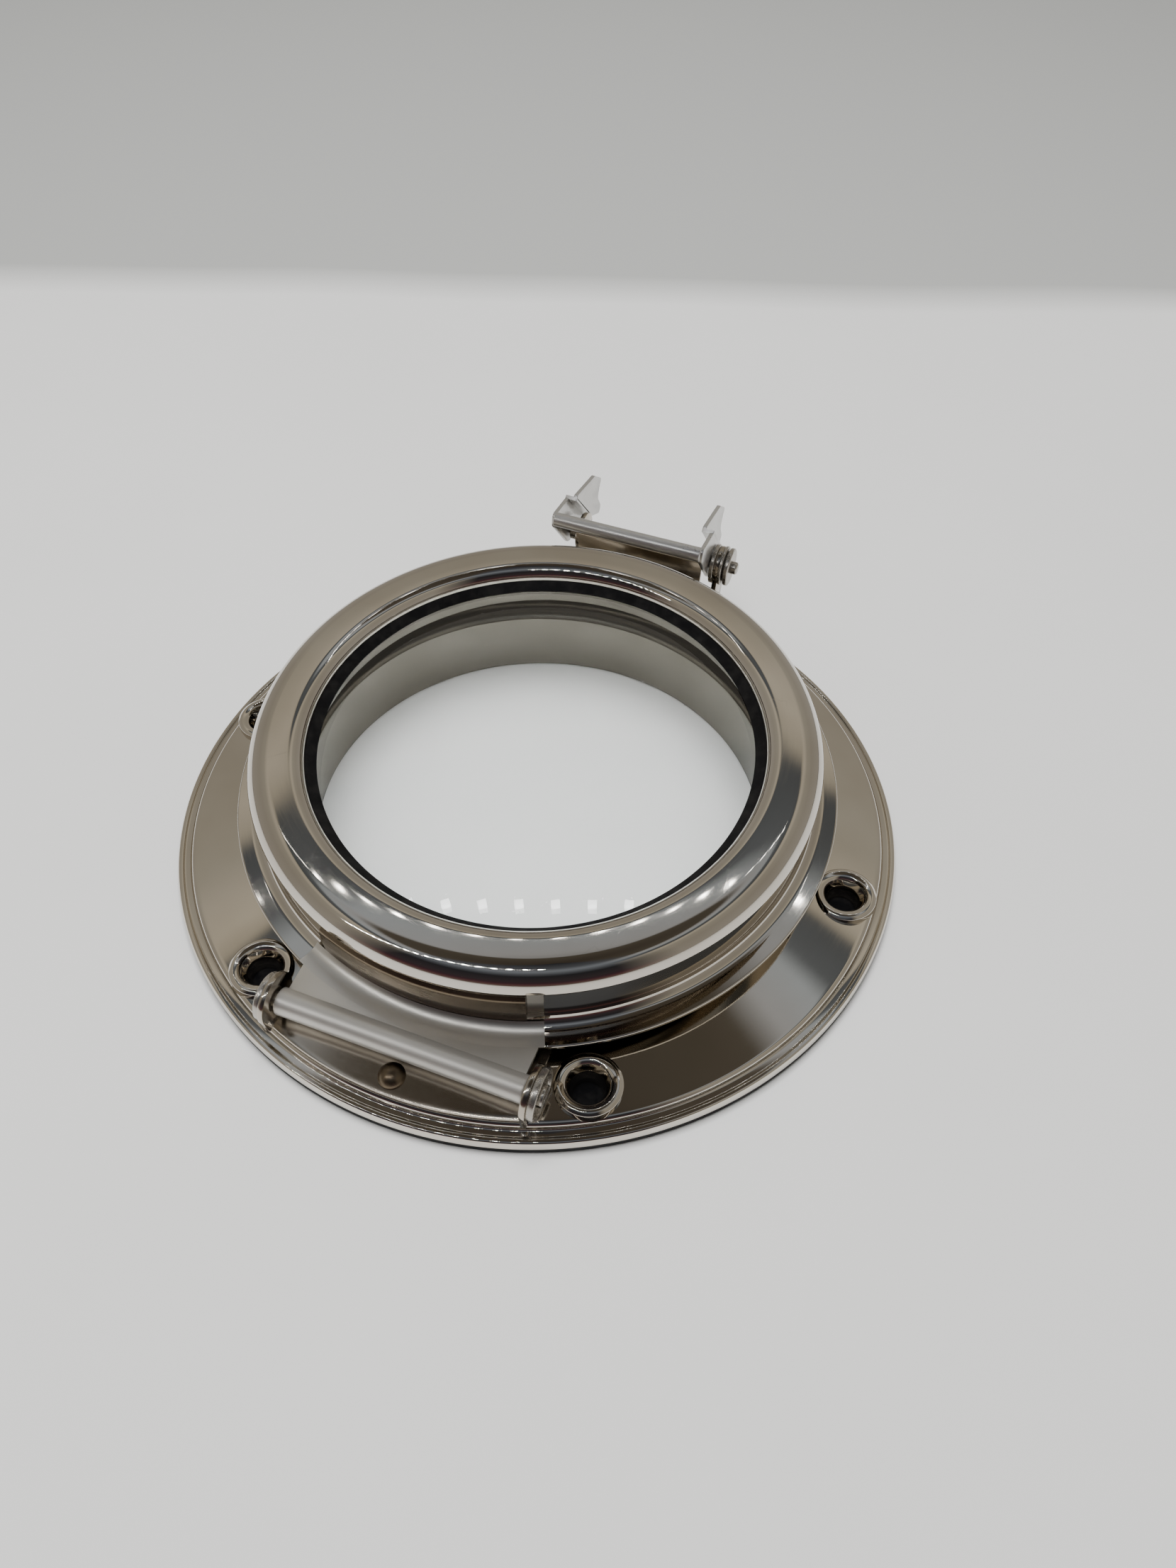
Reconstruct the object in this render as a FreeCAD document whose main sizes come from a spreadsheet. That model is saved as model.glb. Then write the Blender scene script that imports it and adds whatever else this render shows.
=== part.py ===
import FreeCAD, Part
import math
import os
import re

import Sketcher

# Opening porthole of pressed stainless steel: a flanged base with a coaming, a hinged glazed lid
# and a bail latch.  Units are millimetres.  +Z points out of the glass, the origin lies on the
# ring's own axis in the face that meets the hull, the hinge is on the -Y side, the latch on +Y.

SIZES = {
    # flange, coaming and the gasket under them
    "gasket_thick": 2.2,
    "gasket_inner": 70.0,
    "gasket_outer": 95.0,
    "flange_radius": 95.25,
    "flange_sheet": 1.5,
    "rim_edge_top": 3.9,
    "bead_radius": 92.8,
    "bead_top": 5.0,
    "dome_radius": 91.0,
    "dome_edge_top": 6.2,
    "collar_radius": 72.0,
    "dome_inner_top": 9.3,
    "ring_sheet": 1.2,
    "coaming_radius": 68.0,
    "coaming_foot": 0.4,
    "coaming_top": 19.2,
    "opening_radius": 59.3,
    "outer_wall_foot": 7.8,
    # six dimpled countersinks
    "screw_circle": 83.3,
    "screw_hole": 3.4,
    "dimple_radius": 8.0,
    "dimple_top": 9.0,
    "dimple_wall": 1.4,
    "dimple_foot": 2.3,
    # lid
    "lid_flange_radius": 77.4,
    "lid_flange_foot": 14.0,
    "neck_radius": 70.6,
    "neck_top": 30.2,
    "neck_fillet": 4.0,
    "strap_radius": 72.3,
    "strap_foot": 18.2,
    "strap_top": 27.4,
    "strap_half_angle": 20.5,
    "lid_ajar": 2.8,
    "cover_radius": 72.0,
    "cover_foot": 29.0,
    "cover_top": 34.2,
    "lip_radius": 57.4,
    "lip_foot": 30.6,
    "shoulder_round": 4.9,
    "lip_round": 2.4,
    "glass_radius": 62.0,
    "glass_foot": 23.7,
    "glass_thick": 5.0,
    "retainer_inner": 58.0,
    "retainer_leg_foot": 19.9,
    "retainer_foot": 21.2,
    "seal_inner": 61.6,
    "seal_outer": 66.0,
    "seal_gap": 0.15,
    # hinge
    "hinge_reach": 81.0,
    "hinge_height": 13.4,
    "knuckle_radius": 3.3,
    "knuckle_half": 30.6,
    "leaf_half": 29.5,
    "hinge_pin_radius": 2.0,
    "pin_play": 0.06,
    "ear_face": 31.2,
    "ear_sheet": 1.5,
    "ear_radius": 6.5,
    "hinge_head_radius": 6.1,
    "hinge_head_thick": 1.8,
    "plate_sheet": 1.2,
    "plate_inner": 75.0,
    "rivet_circle": 86.4,
    "rivet_shank": 1.6,
    "rivet_head": 3.2,
    "rivet_crown": 2.0,
    # latch
    "latch_reach": 88.5,
    "latch_height": 28.5,
    "latch_pin_radius": 1.9,
    "lug_face": 20.9,
    "lug_sheet": 1.5,
    "lug_radius": 5.6,
    "apron_top": 31.6,
    "apron_right": 17.4,
    "web_reach": 80.6,
    "latch_plate_outer": 90.6,
    "latch_rivet_side": 12.0,
    "latch_rivet_reach": 85.6,
    "bail_sheet": 1.3,
    "bail_right": 19.3,
    "bail_left": 26.7,
    "wing_jog": 2.4,
    "bar_reach": 76.0,
    "bar_height": 40.3,
    "bar_radius": 2.1,
    "disc_radius": 5.8,
    "pin_end": 27.0,
}

SCREWS = 6

# gap left at a welded seam, and how far the strap's upper edge is turned in
SEAM = 0.05
STRAP_TURN = 1.2

doc = FreeCAD.newDocument("porthole")
sheet = doc.addObject("Spreadsheet::Sheet", "Sizes")
for row, (alias, millimetres) in enumerate(SIZES.items(), start=1):
    sheet.set(f"A{row}", alias)
    sheet.set(f"B{row}", str(millimetres))
    sheet.setAlias(f"B{row}", alias)
doc.recompute()


def sized(text):
    """Turn the size names in an expression into references to the spreadsheet."""
    return re.sub(r"[a-z_]+", lambda word: "Sizes." + word.group(), text)


def number(text):
    """The value of an expression at the sizes above, used to place a constraint before it is bound."""
    values = re.sub(r"[a-z_]+", lambda word: repr(SIZES[word.group()]), text)
    total = 0.0
    for sign, product in re.findall(r"([+-]?)([^+-]+)", values.replace(" ", "")):
        term = 1.0
        for factor in product.split("*"):
            top, *bottoms = factor.split("/")
            term *= float(top) / math.prod(float(bottom) for bottom in bottoms)
        total += -term if sign == "-" else term
    return total


def new_body(label):
    body = doc.addObject("PartDesign::Body", label)
    body.Label = label
    return body


def attached_sketch(body, role, offset=None):
    """An empty sketch on one of the body's own origin planes, moved along its normal by an expression."""
    plane = next(item for item in body.Origin.OriginFeatures if item.Role == role)
    sketch = body.newObject("Sketcher::SketchObject", body.Name + "_sketch")
    sketch.AttachmentSupport = [(plane, "")]
    sketch.MapMode = "FlatFace"
    if offset is not None:
        sketch.setExpression(".AttachmentOffset.Base.z", sized(offset))
    return sketch


def bind(sketch, kind, geometry, corner, text):
    """Hold one coordinate of a sketch point at a spreadsheet expression."""
    index = sketch.addConstraint(Sketcher.Constraint(kind, -1, 1, geometry, corner, number(text)))
    sketch.setExpression(f"Constraints[{index}]", sized(text))


def outline(sketch, corners):
    """A closed outline of straight edges through corners given as pairs of expressions."""
    spots = [FreeCAD.Vector(number(across), number(up), 0) for across, up in corners]
    first = sketch.GeometryCount
    for start, end in zip(spots, spots[1:] + spots[:1]):
        sketch.addGeometry(Part.LineSegment(start, end), False)
    for step, (across, up) in enumerate(corners):
        edge = first + step
        last_edge = first + (step - 1) % len(corners)
        sketch.addConstraint(Sketcher.Constraint("Coincident", last_edge, 2, edge, 1))
        bind(sketch, "DistanceX", edge, 1, across)
        bind(sketch, "DistanceY", edge, 1, up)


def circle(sketch, across, up, radius):
    centre = FreeCAD.Vector(number(across), number(up), 0)
    edge = sketch.addGeometry(Part.Circle(centre, FreeCAD.Vector(0, 0, 1), number(radius)), False)
    bind(sketch, "DistanceX", edge, 3, across)
    bind(sketch, "DistanceY", edge, 3, up)
    index = sketch.addConstraint(Sketcher.Constraint("Radius", edge, number(radius)))
    sketch.setExpression(f"Constraints[{index}]", sized(radius))


def revolve(body, corners):
    """Turn an outline of (radius, height) pairs about the ring's axis."""
    sketch = attached_sketch(body, "XZ_Plane")
    outline(sketch, corners)
    turned = body.newObject("PartDesign::Revolution", body.Name + "_turned")
    turned.Profile = sketch
    turned.ReferenceAxis = (sketch, ["V_Axis"])
    turned.Angle = 360
    doc.recompute()


def pad(body, sketch, length):
    solid = body.newObject("PartDesign::Pad", body.Name + "_pad")
    solid.Profile = sketch
    solid.setExpression("Length", sized(length))
    doc.recompute()


def cut(body, sketch):
    """Pocket a sketch right through the body to both sides, and make sure that it cut."""
    volume = body.Shape.Volume
    pocket = body.newObject("PartDesign::Pocket", body.Name + "_pocket")
    pocket.Profile = sketch
    pocket.Type = "ThroughAll"
    pocket.Midplane = True
    doc.recompute()
    if not body.Shape.Volume < volume:
        raise RuntimeError(f"{body.Label}: the pocket cut nothing")


def pattern(body, feature, count):
    """Repeat a feature round the ring's axis."""
    repeat = body.newObject("PartDesign::PolarPattern", body.Name + "_pattern")
    repeat.Originals = [feature]
    repeat.Axis = (next(item for item in body.Origin.OriginFeatures if item.Role == "Z_Axis"), [""])
    repeat.Angle = 360
    repeat.Occurrences = count
    body.Tip = repeat
    doc.recompute()


def round_ring(body, spots, radius):
    """Round the circular edges that lie at the given (radius, height) pairs."""
    base = body.Tip
    names = []
    for index, edge in enumerate(base.Shape.Edges, start=1):
        if not isinstance(edge.Curve, Part.Circle):
            continue
        for across, up in spots:
            near_radius = abs(edge.Curve.Radius - number(across)) < 0.01
            near_height = abs(edge.Curve.Center.z - number(up)) < 0.01
            if near_radius and near_height:
                names.append(f"Edge{index}")
    fillet = body.newObject("PartDesign::Fillet", body.Name + "_round")
    fillet.Base = (base, names)
    fillet.setExpression("Radius", sized(radius))
    doc.recompute()


def circles_round(sketch, circle_radius, radius, count):
    """Equal circles spaced evenly on a larger one, the first on the +X axis."""
    for step in range(count):
        turn = 2 * math.pi * step / count
        spots = []
        for share in (round(math.cos(turn), 9), round(math.sin(turn), 9)):
            spots.append(f"0 - {circle_radius} * {-share}" if share < 0 else f"{circle_radius} * {share}")
        circle(sketch, spots[0], spots[1], radius)


def ring(label, corners):
    body = new_body(label)
    revolve(body, corners)
    return body


def dome_fall():
    """Slope of the flange's conical top face, in radians."""
    rise = SIZES["dome_inner_top"] - SIZES["dome_edge_top"]
    return math.atan2(rise, SIZES["dome_radius"] - SIZES["collar_radius"])


def dome_top(radius):
    """Height of the flange's conical top face at a radius."""
    return SIZES["dome_edge_top"] + (SIZES["dome_radius"] - radius) * math.tan(dome_fall())


def mounting_gasket():
    body = ring("mounting_gasket", [
        ("gasket_inner", "0"), ("gasket_outer", "0"),
        ("gasket_outer", "gasket_thick"), ("gasket_inner", "gasket_thick"),
    ])
    sketch = attached_sketch(body, "XY_Plane")
    circles_round(sketch, "screw_circle", "screw_hole", SCREWS)
    cut(body, sketch)


def base_flange():
    """Domed pressing with a beaded rim, six dimples and three rivet holes."""
    body = ring("base_flange", [
        ("flange_radius", "gasket_thick"), ("flange_radius", "rim_edge_top"),
        ("bead_radius", "bead_top"), ("dome_radius + 0.8", "bead_top"),
        ("dome_radius", "dome_edge_top"), ("collar_radius", "dome_inner_top"),
        ("coaming_radius", "dome_inner_top"), ("coaming_radius", "dome_inner_top - flange_sheet"),
        ("collar_radius", "dome_inner_top - flange_sheet"),
        ("dome_radius - 0.8", "dome_edge_top - flange_sheet"),
        ("dome_radius + 0.2", "bead_top - flange_sheet"),
        ("bead_radius - 0.4", "bead_top - flange_sheet"),
        ("flange_radius - flange_sheet", "gasket_thick"),
    ])
    openings = attached_sketch(body, "XY_Plane")
    circles_round(openings, "screw_circle", "dimple_radius - 0.6", SCREWS)
    cut(body, openings)
    cup = attached_sketch(body, "XZ_Plane")
    axis = cup.addGeometry(Part.LineSegment(FreeCAD.Vector(SIZES["screw_circle"], 0, 0),
                                            FreeCAD.Vector(SIZES["screw_circle"], 20, 0)), True)
    bind(cup, "DistanceX", axis, 1, "screw_circle")
    bind(cup, "DistanceX", axis, 2, "screw_circle")
    bind(cup, "DistanceY", axis, 1, "0")
    bind(cup, "DistanceY", axis, 2, "dimple_top")
    outline(cup, [
        ("screw_circle + screw_hole", "dimple_foot"),
        ("screw_circle + screw_hole + dimple_wall", "dimple_foot"),
        ("screw_circle + screw_hole + dimple_wall", "dimple_foot + dimple_wall"),
        ("screw_circle + dimple_radius", "dome_edge_top - flange_sheet"),
        ("screw_circle + dimple_radius", "dimple_top - 0.6"),
        ("screw_circle + dimple_radius - 0.6", "dimple_top"),
        ("screw_circle + dimple_radius - 1.2", "dimple_top"),
        ("screw_circle + screw_hole", "dimple_foot + dimple_wall"),
    ])
    dimple = body.newObject("PartDesign::Revolution", "dimple")
    dimple.Profile = cup
    dimple.ReferenceAxis = (cup, ["Axis0"])
    dimple.Angle = 360
    doc.recompute()
    pattern(body, dimple, SCREWS)
    rivets = attached_sketch(body, "XY_Plane")
    circle(rivets, "0", "0 - rivet_circle", "rivet_shank")
    circle(rivets, "latch_rivet_side", "latch_rivet_reach", "rivet_shank")
    circle(rivets, "0 - latch_rivet_side", "latch_rivet_reach", "rivet_shank")
    cut(body, rivets)


def coaming():
    """Hollow wall round the opening; its flat top is the seat of the lid's seal."""
    body = ring("coaming", [
        ("coaming_radius", "outer_wall_foot"), ("coaming_radius", "coaming_top"),
        ("opening_radius", "coaming_top"), ("opening_radius", "coaming_foot"),
        ("opening_radius + ring_sheet", "coaming_foot"),
        ("opening_radius + ring_sheet", "coaming_top - ring_sheet"),
        ("coaming_radius - ring_sheet", "coaming_top - ring_sheet"),
        ("coaming_radius - ring_sheet", "outer_wall_foot"),
    ])
    rims = [("coaming_radius", "coaming_top"), ("opening_radius", "coaming_top")]
    round_ring(body, rims, "1.5 * ring_sheet")


def lid_frame_ring():
    """Lower lid ring: neck, outer flange, and the hinge leaf rolled into a knuckle."""
    body = ring("lid_frame_ring", [
        ("lid_flange_radius", "lid_flange_foot"),
        ("lid_flange_radius", "lid_flange_foot + ring_sheet"),
        ("neck_radius", "lid_flange_foot + ring_sheet"), ("neck_radius", "neck_top"),
        ("neck_radius - ring_sheet", "neck_top"), ("neck_radius - ring_sheet", "lid_flange_foot"),
    ])
    round_ring(body, [("neck_radius", "lid_flange_foot + ring_sheet")], "neck_fillet")
    round_ring(body, [("neck_radius - ring_sheet", "lid_flange_foot")], "neck_fillet + ring_sheet")
    leaf = attached_sketch(body, "YZ_Plane", "0 - leaf_half")
    knuckle_top = "hinge_height + knuckle_radius"
    outline(leaf, [
        ("0 - neck_radius - 0.3", "lid_flange_foot"),
        ("0 - neck_radius - 0.3", "lid_flange_foot + ring_sheet"),
        ("0 - lid_flange_radius", "lid_flange_foot + ring_sheet"),
        ("0 - hinge_reach", knuckle_top),
        ("0 - hinge_reach", knuckle_top + " - ring_sheet"),
        ("0 - lid_flange_radius + 0.2", "lid_flange_foot"),
    ])
    pad(body, leaf, "2 * leaf_half")
    barrel = attached_sketch(body, "YZ_Plane", "0 - knuckle_half")
    circle(barrel, "0 - hinge_reach", "hinge_height", "knuckle_radius")
    pad(body, barrel, "2 * knuckle_half")
    bore = attached_sketch(body, "YZ_Plane")
    circle(bore, "0 - hinge_reach", "hinge_height", "hinge_pin_radius + pin_play")
    cut(body, bore)


def lid_cover_ring():
    """Upper lid ring: skirt, rounded shoulder, flat face and the lip over the glass."""
    body = ring("lid_cover_ring", [
        ("cover_radius", "cover_foot"), ("cover_radius", "cover_top"),
        ("lip_radius", "cover_top"), ("lip_radius", "lip_foot"),
        ("lip_radius + ring_sheet", "lip_foot"),
        ("lip_radius + ring_sheet", "cover_top - ring_sheet"),
        ("cover_radius - ring_sheet", "cover_top - ring_sheet"),
        ("cover_radius - ring_sheet", "cover_foot"),
    ])
    round_ring(body, [("cover_radius", "cover_top")], "shoulder_round")
    round_ring(body, [("cover_radius - ring_sheet", "cover_top - ring_sheet")], "shoulder_round - ring_sheet")
    round_ring(body, [("lip_radius", "cover_top")], "lip_round")
    round_ring(body, [("lip_radius + ring_sheet", "cover_top - ring_sheet")], "lip_round - ring_sheet")


def lid_inner_rings():
    """Glass with its channel gasket, the retainer under it and the seal that meets the coaming."""
    ring("glass_pane", [
        ("0", "glass_foot"), ("glass_radius", "glass_foot"),
        ("glass_radius", "glass_foot + glass_thick"), ("0", "glass_foot + glass_thick"),
    ])
    ring("glazing_gasket", [
        ("lip_radius - 2.6", "glass_foot + glass_thick + 0.1"),
        ("lip_radius - 0.1", "lip_foot - 0.1"), ("lip_radius + ring_sheet + 0.1", "lip_foot - 0.1"),
        ("lip_radius + ring_sheet + 0.1", "cover_top - lip_round - 0.1"),
        ("lip_radius + lip_round + 0.1", "cover_top - ring_sheet - 0.1"),
        ("glass_radius + 2.2", "cover_top - ring_sheet - 0.1"),
        ("glass_radius + 2.2", "retainer_foot + ring_sheet + 0.1"),
        ("glass_radius - 2.2", "retainer_foot + ring_sheet + 0.1"),
        ("glass_radius - 2.2", "glass_foot - 0.1"), ("glass_radius + 0.1", "glass_foot - 0.1"),
        ("glass_radius + 0.1", "glass_foot + glass_thick + 0.1"),
    ])
    leg = "retainer_inner + ring_sheet"
    outer = "neck_radius - ring_sheet - 0.1"
    ring("glass_retainer", [
        ("retainer_inner", "retainer_leg_foot"), (leg, "retainer_leg_foot"),
        (leg, "retainer_foot"), (outer, "retainer_foot"), (outer, "retainer_foot + ring_sheet"),
        (leg, "retainer_foot + ring_sheet"), (leg, "glass_foot - 0.2"),
        ("retainer_inner", "glass_foot - 0.2"),
    ])
    ring("lid_seal", [
        ("seal_inner", "coaming_top + seal_gap"), ("seal_outer", "coaming_top + seal_gap"),
        ("seal_outer", "retainer_foot"), ("seal_inner", "retainer_foot"),
    ])


def neck_strap():
    """Curved strip welded to the neck above the hinge, with its upper edge turned in."""
    inner = SIZES["neck_radius"] + SEAM
    outer = SIZES["strap_radius"]
    foot = SIZES["strap_foot"]
    top = SIZES["strap_top"]
    corners = [FreeCAD.Vector(across, 0, up) for across, up in (
        (inner, foot), (outer, foot), (outer, top - STRAP_TURN), (outer - STRAP_TURN, top), (inner, top))]
    half = SIZES["strap_half_angle"]
    face = Part.Face(Part.makePolygon(corners + corners[:1]))
    face.rotate(FreeCAD.Vector(0, 0, 0), FreeCAD.Vector(0, 0, 1), -90 - half)
    strap = doc.addObject("Part::Feature", "neck_strap")
    strap.Shape = face.revolve(FreeCAD.Vector(0, 0, 0), FreeCAD.Vector(0, 0, 1), 2 * half)


def stand_ajar(labels):
    """Turn the lid's pieces about the hinge pin, from closed to lying on the uncompressed seal."""
    pivot = FreeCAD.Vector(0, -SIZES["hinge_reach"], SIZES["hinge_height"])
    turn = FreeCAD.Rotation(FreeCAD.Vector(1, 0, 0), SIZES["lid_ajar"])
    for label in labels:
        piece = doc.getObjectsByLabel(label)[0]
        piece.Placement = FreeCAD.Placement(FreeCAD.Vector(0, 0, 0), turn, pivot)


def sloped_plate(name, inner, outer, half_width, side):
    """Sheet that lies on the flange's cone, trimmed to a strip; side is -1 at the hinge, +1 at the latch."""
    rise = SIZES["plate_sheet"] / math.cos(dome_fall())
    corners = [FreeCAD.Vector(radius, 0, dome_top(radius) + lift)
               for radius, lift in ((inner, 0), (outer, 0), (outer, rise), (inner, rise))]
    face = Part.Face(Part.makePolygon(corners + corners[:1]))
    cone = face.revolve(FreeCAD.Vector(0, 0, 0), FreeCAD.Vector(0, 0, 1), 360)
    strip = Part.makeBox(2 * half_width, outer, 30, FreeCAD.Vector(-half_width, 0 if side > 0 else -outer, 0))
    plate = doc.addObject("Part::Feature", name)
    plate.Shape = cone.common(strip)
    return plate


def x_cylinder(name, radius, start, end, reach, height):
    """Cylinder along X, bound to the sheet, with its axis at (reach, height) in the YZ plane."""
    solid = doc.addObject("Part::Cylinder", name)
    solid.setExpression("Radius", sized(radius))
    solid.setExpression("Height", sized(f"{end} - ({start})"))
    solid.Placement.Rotation = FreeCAD.Rotation(FreeCAD.Vector(0, 1, 0), 90)
    solid.setExpression(".Placement.Base.x", sized(start))
    solid.setExpression(".Placement.Base.y", sized(reach))
    solid.setExpression(".Placement.Base.z", sized(height))
    return solid


def fused(label, pieces):
    join = doc.addObject("Part::MultiFuse", label)
    join.Shapes = pieces
    join.Refine = True
    join.Label = label
    doc.recompute()
    return join


def drilled(label, solid, holes):
    """Cut a set of cylinders out of a solid."""
    tool = holes[0]
    if len(holes) > 1:
        tool = fused(label + "_holes", holes)
    result = doc.addObject("Part::Cut", label)
    result.Base = solid
    result.Tool = tool
    result.Label = label
    doc.recompute()


HINGE = ("0 - hinge_reach", "hinge_height")
LATCH = ("latch_reach", "latch_height")


def rivet_hole(name, across, along):
    """Upright drill for a rivet, on a spot given by expressions."""
    solid = doc.addObject("Part::Cylinder", name)
    solid.setExpression("Radius", sized("rivet_shank"))
    solid.setExpression("Height", sized("2 * dome_inner_top"))
    solid.setExpression(".Placement.Base.x", sized(across))
    solid.setExpression(".Placement.Base.y", sized(along))
    return solid


def extruded(name, corners, start, thickness):
    """Flat piece of sheet across X from an outline of (y, z) expressions."""
    body = doc.addObject("PartDesign::Body", name)
    sketch = attached_sketch(body, "YZ_Plane", start)
    outline(sketch, corners)
    pad(body, sketch, thickness)
    return body


def hinge_bracket():
    """Plate on the dome with a round ear bent up at each end."""
    outer = SIZES["dome_radius"] - 0.2
    plate = sloped_plate("hinge_plate", SIZES["plate_inner"], outer, SIZES["ear_face"], -1)
    pieces = [plate]
    for side, start in (("left", "0 - ear_face - ear_sheet"), ("right", "ear_face")):
        end = start + " + ear_sheet"
        pieces.append(x_cylinder("hinge_ear_" + side, "ear_radius", start, end, *HINGE))
        pieces.append(extruded("hinge_foot_" + side, [
            ("0 - hinge_reach - ear_radius", "hinge_height - 1"),
            ("0 - hinge_reach - ear_radius + 0.6", "dome_edge_top + 1"),
            ("0 - hinge_reach + ear_radius + 1", "dome_edge_top + 2.5"),
            ("0 - hinge_reach + ear_radius", "hinge_height"),
        ], start, "ear_sheet"))
        # the bend that joins the ear to the plate
        overlap = "ear_face - 0.5" if side == "right" else "0 - ear_face - ear_sheet"
        pieces.append(extruded("hinge_bend_" + side, [
            ("0 - hinge_reach - ear_radius + 1.4", "dome_edge_top + 1.3"),
            ("0 - hinge_reach - ear_radius + 1.4", "dome_edge_top + 2.2"),
            ("0 - hinge_reach + ear_radius - 1", "dome_edge_top + 3.2"),
            ("0 - hinge_reach + ear_radius - 1", "dome_edge_top + 2.7"),
        ], overlap, "ear_sheet + 0.5"))
    whole = fused("hinge_bracket_blank", pieces)
    bore = x_cylinder("hinge_ear_bore", "hinge_pin_radius", "0 - ear_face - 5", "ear_face + 5", *HINGE)
    drilled("hinge_bracket", whole, [bore, rivet_hole("hinge_rivet_hole", "0", "0 - rivet_circle")])


def hinge_pin():
    """Pin with one head, and the slotted screw that closes its other end."""
    tail = "ear_face + ear_sheet"
    shaft = x_cylinder("hinge_shaft", "hinge_pin_radius", "0 - ear_face - ear_sheet", tail, *HINGE)
    head_start = "0 - ear_face - ear_sheet - hinge_head_thick"
    head = x_cylinder("hinge_head", "hinge_head_radius - 0.3", head_start, "0 - ear_face - ear_sheet", *HINGE)
    solid = fused("hinge_pin_blank", [shaft, head])
    thread = x_cylinder("hinge_thread", "hinge_pin_radius / 2", "ear_face - 6", "ear_face + 5", *HINGE)
    drilled("hinge_pin", solid, [thread])
    screw_shank = x_cylinder("screw_shank", "hinge_pin_radius / 2", "ear_face - 5.5", tail + " + 0.5", *HINGE)
    disc = x_cylinder("screw_disc", "hinge_head_radius", tail, tail + " + hinge_head_thick", *HINGE)
    boss_end = tail + " + hinge_head_thick + 0.7"
    boss = x_cylinder("screw_boss", "hinge_pin_radius + 0.7", tail + " + 0.5", boss_end, *HINGE)
    blank = fused("hinge_pin_screw_blank", [screw_shank, disc, boss])
    slot = extruded("screw_slot", [
        ("0 - hinge_reach - 4", "hinge_height - 0.5"), ("0 - hinge_reach - 4", "hinge_height + 0.5"),
        ("0 - hinge_reach + 4", "hinge_height + 0.5"), ("0 - hinge_reach + 4", "hinge_height - 0.5"),
    ], tail + " + hinge_head_thick - 0.2", "2")
    drilled("hinge_pin_screw", blank, [slot])


def rivet(label, spots):
    """Domed rivets whose heads sit square on the sloped plates."""
    solids = []
    for across, along in spots:
        radius = math.hypot(across, along)
        seat = dome_top(radius) + SIZES["plate_sheet"] / math.cos(dome_fall())
        crown = Part.makeCylinder(SIZES["rivet_head"], SIZES["rivet_crown"])
        top = [edge for edge in crown.Edges if abs(edge.CenterOfMass.z - SIZES["rivet_crown"]) < 0.01]
        crown = crown.makeFillet(0.9 * SIZES["rivet_crown"], top)
        turn = FreeCAD.Rotation(FreeCAD.Vector(-along, across, 0), math.degrees(dome_fall()))
        crown.Placement = FreeCAD.Placement(FreeCAD.Vector(across, along, seat), turn)
        depth = seat + 0.3 - SIZES["dome_edge_top"] + 2 * SIZES["flange_sheet"]
        foot = FreeCAD.Vector(across, along, seat + 0.3 - depth)
        shank = Part.makeCylinder(SIZES["rivet_shank"], depth, foot)
        solids.append(crown.fuse(shank).removeSplitter())
    piece = doc.addObject("Part::Feature", label)
    piece.Label = label
    piece.Shape = Part.makeCompound(solids) if len(solids) > 1 else solids[0]


def latch_bracket():
    """Foot plate on the dome, a web facing the lid and two round-topped lugs."""
    inner = SIZES["web_reach"] - 1.2
    half = SIZES["lug_face"] + SIZES["lug_sheet"]
    plate = sloped_plate("latch_foot", inner, SIZES["latch_plate_outer"], half, 1)
    web = extruded("latch_web", [
        ("web_reach", "dome_inner_top - 1.4"), ("web_reach + ring_sheet", "dome_inner_top - 1.6"),
        ("web_reach + ring_sheet + 1.4", "latch_height - lug_radius"),
        ("web_reach + 1.4", "latch_height - lug_radius"),
    ], "0 - lug_face - lug_sheet", "2 * lug_face + 2 * lug_sheet")
    # the apron stands on the web under the crossbar and stops short of the bail's right arm
    apron_foot = "latch_height - lug_radius - 1"
    apron = extruded("latch_apron", [
        ("web_reach + 1.4", apron_foot), ("web_reach + ring_sheet + 1.4", apron_foot),
        ("web_reach + ring_sheet + 2.4", "apron_top"), ("web_reach + 2.4", "apron_top"),
    ], "0 - lug_face - 0.5", "lug_face + 0.5 + apron_right")
    pieces = [plate, web, apron]
    for side, start in (("left", "0 - lug_face - lug_sheet"), ("right", "lug_face")):
        pieces.append(x_cylinder("latch_lug_" + side, "lug_radius", start, start + " + lug_sheet", *LATCH))
        pieces.append(extruded("latch_side_" + side, [
            ("web_reach + 0.4", "dome_inner_top - 1.6"), ("latch_reach - 1.5", "dome_edge_top + 1"),
            ("latch_reach + lug_radius - 0.4", "latch_height - 2"),
            ("latch_reach - lug_radius + 0.2", "latch_height"),
            ("web_reach + 1.8", "latch_height - lug_radius - 0.3"),
        ], start, "lug_sheet"))
    whole = fused("latch_bracket_blank", pieces)
    bore = x_cylinder("latch_lug_bore", "latch_pin_radius", "0 - lug_face - 5", "lug_face + 5", *LATCH)
    holes = [bore]
    for side, across in (("left", "0 - latch_rivet_side"), ("right", "latch_rivet_side")):
        holes.append(rivet_hole("latch_rivet_hole_" + side, across, "latch_rivet_reach"))
    drilled("latch_bracket", whole, holes)


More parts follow.
